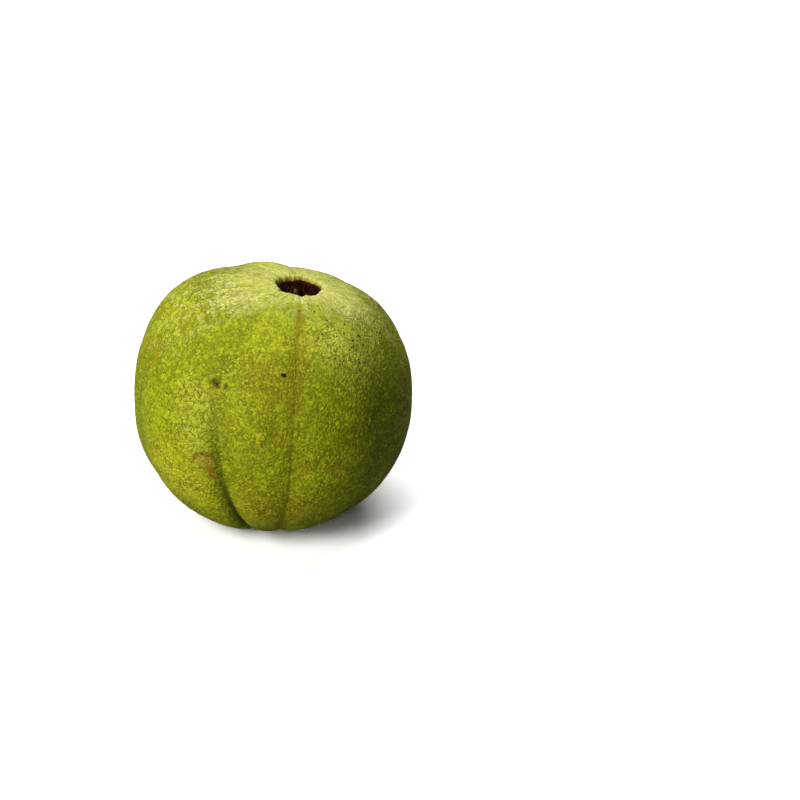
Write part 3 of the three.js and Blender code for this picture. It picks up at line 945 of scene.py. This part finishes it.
def calyxLobe(lobe, points, edges):
    # a small blade that narrows to a torn point, curling down and in at its sides
    azimuth, length, width, fold = lobe
    sizes = calyxSizes
    turn = math.radians(azimuth)
    half = sizes["lobeSides"] // 2
    curl = math.radians(sizes["lobeCurl"])
    arc = length / curl
    foldTurn = Matrix.Rotation(math.radians(fold), 3, "Y")
    azimuthTurn = Matrix.Rotation(turn + math.pi, 3, "Z")
    for step in range(sizes["lobeSteps"]):
        share = step / (sizes["lobeSteps"] - 1)
        bend = curl * share
        narrow = 1.0 - 0.86 * share ** 1.3
        for side in range(2 * half):
            over = side < half
            across = (side + 0.5) / half if over else (2 * half - side - 0.5) / half
            y = (across - 0.5) * width
            seed = (share * 2.4, across * 1.6, azimuth)
            ragged = 1.0 + 0.5 * roughly((share * 9.0, 3.0 if across > 0.5 else 8.0, azimuth), 1.0)
            thin = sizes["lobeThickness"] * (1.0 - 0.6 * share) * max(0.25, 1.0 - (2.0 * across - 1.0) ** 4)
            lift = (0.5 if over else -0.5) * thin - 0.35 * (2.0 * y / width) ** 2
            lift += 0.7 * roughly(seed, 2.2) * (0.3 + share) + 0.16 * roughly(seed, 8.0, 4.0)
            hug = (1.0 - share) * y * y / (2.0 * sizes["lobeRootRadius"])
            local = Vector((hug + (arc + lift) * math.sin(bend), y * narrow * ragged,
                            arc * (math.cos(bend) - 1.0) + lift * math.cos(bend)))
            placed = azimuthTurn @ (foldTurn @ local)
            out = sizes["lobeRootRadius"] + mouthWave(turn)
            placed += Vector((out * math.cos(turn), out * math.sin(turn), -sizes["lobeRootDrop"]))
            points.append(inCrown(placed))
            edges.append(max(abs(2.0 * across - 1.0) ** 6, share ** 5) * 0.8)


def buildCalyx():
    points, edges, faces = [], [], []
    calyxRing(points, edges)
    joinRings(points, faces, 0, 2 * calyxSizes["ringSteps"], True)
    for lobe in calyxSizes["lobes"]:
        first = len(points)
        calyxLobe(lobe, points, edges)
        joinRings(points, faces, first, calyxSizes["lobeSides"])
        edges += [0.0, 1.0]
    return makePiece("driedCalyx", points, faces, {"edgeShare": edges}, calyxMaterial)


calyx = buildCalyx()
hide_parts("calyx")
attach(calyx, "root")


styleShape = {
    "route": [(0.2, 0.3, -8.0), (0.0, 0.0, -6.6), (-0.6, -0.8, -4.8), (-1.5, -1.5, -2.2)],
    "rootRadius": 0.95,
    "waistRadius": 0.62,
    "knobRadius": 0.72,
    "knobStart": 0.82,
    "steps": 64,
    "sides": 32,
}


def routePoint(route, share):
    # a smooth line through the four points of a route
    spot = share * (len(route) - 1)
    index = min(int(spot), len(route) - 2)
    part = spot - index
    p1, p2 = Vector(route[index]), Vector(route[index + 1])
    p0 = Vector(route[index - 1]) if index > 0 else p1 * 2.0 - p2
    p3 = Vector(route[index + 2]) if index + 2 < len(route) else p2 * 2.0 - p1
    return 0.5 * (p1 * 2.0 + (p2 - p0) * part + (p0 * 2.0 - p1 * 5.0 + p2 * 4.0 - p3) * part ** 2
                  + (p1 * 3.0 - p0 - p2 * 3.0 + p3) * part ** 3)


def buildStyle():
    # a withered bent peg with furrows along it and a shrunken knob at the tip
    points, edges, faces = [], [], []
    shape = styleShape
    for step in range(shape["steps"]):
        share = step / (shape["steps"] - 1)
        middle = routePoint(shape["route"], share)
        after = routePoint(shape["route"], min(share + 0.01, 1.0))
        ahead = (after - routePoint(shape["route"], share - 0.01)).normalized()
        right = ahead.cross(Vector((0.0, 1.0, 0.0))).normalized()
        forward = ahead.cross(right)
        radius = between(min(share / 0.5, 1.0), shape["rootRadius"], shape["waistRadius"])
        if share > shape["knobStart"]:
            part = (share - shape["knobStart"]) / (1.0 - shape["knobStart"])
            swell = math.sin(math.pi * min(part * 0.62, 0.62))
            radius = between(swell, shape["waistRadius"], shape["knobRadius"])
            radius *= 1.0 - 0.55 * max(part - 0.75, 0.0) / 0.25
        for side in range(shape["sides"]):
            turn = math.tau * side / shape["sides"]
            circle = (math.cos(turn), math.sin(turn), share * 1.2)
            furrow = 0.22 * roughly(circle, 3.4) + 0.1 * roughly(circle, 9.0, 5.0)
            spread = radius * (1.0 + furrow)
            offset = right * (spread * math.cos(turn)) + forward * (spread * math.sin(turn))
            points.append(inCrown(middle + offset))
            edges.append(max(0.0, furrow * 5.0) * share + 0.5 * max(0.0, share * 6.0 - 5.0))
    joinRings(points, faces, 0, shape["sides"])
    edges += [edges[-1]] * 2
    return makePiece("witheredStyle", points, faces, {"edgeShare": edges}, styleMaterial)


style = buildStyle()
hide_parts("style")
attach(style, "root")


stemShape = {
    "middle": (-0.46, -0.67),
    "radius": 2.3,
    "bottom": 1.1,
    "top": 4.84,
    "steps": 60,
    "sides": 112,
    "endRings": 12,
}


def buildStem():
    # a short woody stub: split bark round it, and a cut end that is a little hollow at its pith
    points, fissures, cuts, ends, faces = [], [], [], [], []
    shape = stemShape
    middleX, middleY = shape["middle"]
    rings = [(True, (ring + 1) / shape["endRings"]) for ring in range(shape["endRings"])]
    rings += [(False, (step + 1) / shape["steps"]) for step in range(shape["steps"])]
    for onEnd, share in rings:
        height = 0.0 if onEnd else share
        flare = 0.9 + 0.06 * height + 0.2 * max(0.0, height - 0.7) / 0.3
        for side in range(shape["sides"]):
            turn = math.tau * side / shape["sides"]
            x, y = math.cos(turn), math.sin(turn)
            fissure = max(0.0, 1.0 - abs(roughly((x, y, height * 0.5), 3.6, 1.0)) * 11.0)
            bark = 0.1 * roughly((x, y, height), 8.0, 6.0) - 0.13 * fissure
            reach = (shape["radius"] * flare + bark) * (share if onEnd else 1.0)
            z = between(height, shape["bottom"], shape["top"])
            if onEnd:
                z += 0.16 * roughly((reach * x, reach * y, 0.0), 1.6) + 0.3 * max(0.0, 0.3 - share)
                z += 0.14 * share ** 8
            else:
                z += 0.14 * max(0.0, 1.0 - share * 12.0)
            points.append((middleX + reach * x, middleY + reach * y, z))
            fissures.append(0.0 if onEnd else fissure)
            cuts.append(1.0 if onEnd and share < 0.95 else 0.0)
            ends.append(share if onEnd else 1.0)
    joinRings(points, faces, 0, shape["sides"])
    fissures += [0.0, 0.0]
    cuts += [1.0, 0.0]
    ends += [0.0, 1.0]
    attributes = {"fissure": fissures, "cutShare": cuts, "endReach": ends}
    return makePiece("woodyStem", points, faces, attributes, stemMaterial)


stem = buildStem()
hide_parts("stem")
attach(stem, "root")


# Dried stamens: a ring of thin curled threads at the foot of the calyx, placed by rule

stamenSizes = {
    "threads": 74.0,
    "ringRadius": 4.4,
    "rootDrop": 6.8,
    "length": 4.4,
    "thickness": 0.11,
    "lean": 0.5,
    "uneven": 0.35,
    "curl": 1.3,
    "seed": 4.0,
}


def randomBetween(tree, low, high, seed):
    node = newNode(tree, "FunctionNodeRandomValue", {"data_type": "FLOAT"}, Seed=seed)
    plug(openSocket(node.inputs, "Min"), low)
    plug(openSocket(node.inputs, "Max"), high)
    return Field(openSocket(node.outputs, "Value"))


def stamenThread(tree, given):
    # one upright thread, whose points keep their share of the way up
    line = newNode(tree, "GeometryNodeCurvePrimitiveLine", End=makeVector(0.0, 0.0, given["length"]))
    resample = newNode(tree, "GeometryNodeResampleCurve", Curve=Field(line.outputs[0]), Count=22)
    share = Field(tree.nodes.new("GeometryNodeSplineParameter").outputs["Factor"])
    stored = storeAttribute(Field(resample.outputs[0]), "edgeShare", share)
    profile = newNode(tree, "GeometryNodeCurvePrimitiveCircle", Resolution=7, Radius=given["thickness"])
    thread = newNode(tree, "GeometryNodeCurveToMesh", Curve=stored, Profile_Curve=Field(profile.outputs[0]),
                     Fill_Caps=True)
    return Field(thread.outputs[0])


def buildStamenTree():
    # set round a ring, leaning inwards, each its own length
    tree, given, identifiers = newGeometryTree("stamenRing", stamenSizes)
    ring = newNode(tree, "GeometryNodeMeshCircle", Vertices=given["threads"], Radius=given["ringRadius"])
    x, y, _ = splitVector(pointPlace(tree))
    lean = given["lean"] * randomBetween(tree, 0.1, 1.9, given["seed"])
    sideLean = given["uneven"] * randomBetween(tree, -1.0, 1.0, given["seed"] + 1.0)
    size = randomBetween(tree, 0.5, 1.1, given["seed"] + 2.0)
    instances = newNode(tree, "GeometryNodeInstanceOnPoints", Points=Field(ring.outputs[0]),
                        Instance=stamenThread(tree, given), Scale=makeVector(1.0, 1.0, size),
                        Rotation=makeVector(sideLean, -lean, calculate("ARCTAN2", y, x)))
    geometry = geometryStep("RealizeInstances", Field(instances.outputs[0]))

    # curled, more towards the tips, then set down in the pit
    place = pointPlace(tree)
    tipShare = storedAttribute(tree, "edgeShare", "FLOAT")
    curled = loosen(place, given["curl"] * 2.2 * tipShare, place, 0.55, 1.0)
    lowered = vectorMath("SUBTRACT", curled, makeVector(0.0, 0.0, given["rootDrop"]))
    geometry = geometryStep("SetPosition", geometry, Position=stretchVector(lowered, millimetre))
    geometry = geometryStep("Transform", geometry, Translation=Vector(crownFrame["place"]) * millimetre,
                            Rotation=(0.0, math.radians(crownFrame["tilt"]), 0.0))
    finishTree(geometry, stamenMaterial)
    return tree, identifiers


stamens = runGeometryTree("driedStamens", stamenSizes, *buildStamenTree())
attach(stamens, "root")
print("pit and stub")


# Camera, lights and table

cameraSizes = {
    "elevation": 27.0,
    "distance": 648.0,
    "lens": 85.0,
    "sensor": 36.0,
    "pivot": (-0.46, -0.67, 40.8),
    "pictureMiddle": (43.8, -0.7),
}


def makeCamera():
    data = bpy.data.cameras.new("camera")
    data.lens = cameraSizes["lens"]
    data.sensor_width = cameraSizes["sensor"]
    camera = newObject("camera", data)
    angle = math.radians(cameraSizes["elevation"])
    pivot = Vector(cameraSizes["pivot"])
    right, up = cameraSizes["pictureMiddle"]
    target = pivot + Vector((right, 0.0, 0.0)) + Vector((0.0, math.sin(angle), math.cos(angle))) * up
    place = pivot + Vector((0.0, -math.cos(angle), math.sin(angle))) * cameraSizes["distance"]
    camera.location = place * millimetre
    camera.rotation_euler = (target - place).to_track_quat("-Z", "Y").to_euler()
    bpy.context.scene.camera = camera


def makeAreaLight(name, place, size, watts):
    # a round soft light that faces the fruit; place and size in metres
    data = bpy.data.lights.new(name, "AREA")
    data.shape = "DISK"
    data.size = size
    data.energy = watts
    light = newObject(name, data)
    light.location = place
    light.rotation_euler = (Vector((0.0, 0.0, 0.04)) - Vector(place)).to_track_quat("-Z", "Y").to_euler()


def seenByCamera(tree):
    return Field(tree.nodes.new("ShaderNodeLightPath").outputs["Is Camera Ray"])


def makeTable():
    # white to the camera, but darker to the light that it throws back at the fruit
    size = 4.0
    mesh = bpy.data.meshes.new("table")
    corners = [(-size, -size, 0.0), (size, -size, 0.0), (size, size, 0.0), (-size, size, 0.0)]
    mesh.from_pydata(corners, [], [(0, 1, 2, 3)])
    table = newObject("table", mesh)
    material = bpy.data.materials.new("tableWhite")
    material.use_nodes = True
    tree = material.node_tree
    tree.nodes.clear()
    colour = mixColours(seenByCamera(tree), (0.2, 0.2, 0.2, 1.0), (1.5, 1.5, 1.5, 1.0))
    diffuse = newNode(tree, "ShaderNodeBsdfDiffuse", Color=colour)
    newNode(tree, "ShaderNodeOutputMaterial", Surface=Field(diffuse.outputs[0]))
    mesh.materials.append(material)


def makeWorld():
    world = bpy.data.worlds.new("studio")
    bpy.context.scene.world = world
    world.use_nodes = True
    background = world.node_tree.nodes["Background"]
    plug(background.inputs["Strength"], between(seenByCamera(world.node_tree), 0.04, 1.0))
    plug(background.inputs["Color"], (1.0, 1.0, 1.0, 1.0))


makeCamera()
makeTable()
makeWorld()
makeAreaLight("keyLight", (-0.6, -0.6, 0.7), 0.6, 10.8)
makeAreaLight("topLight", (0.1, 0.4, 1.0), 1.1, 11.5)
makeAreaLight("lowLight", (-0.85, -0.95, 0.12), 0.7, 9.5)
bpy.context.scene.view_settings.view_transform = "Standard"
print("camera, lights and table")
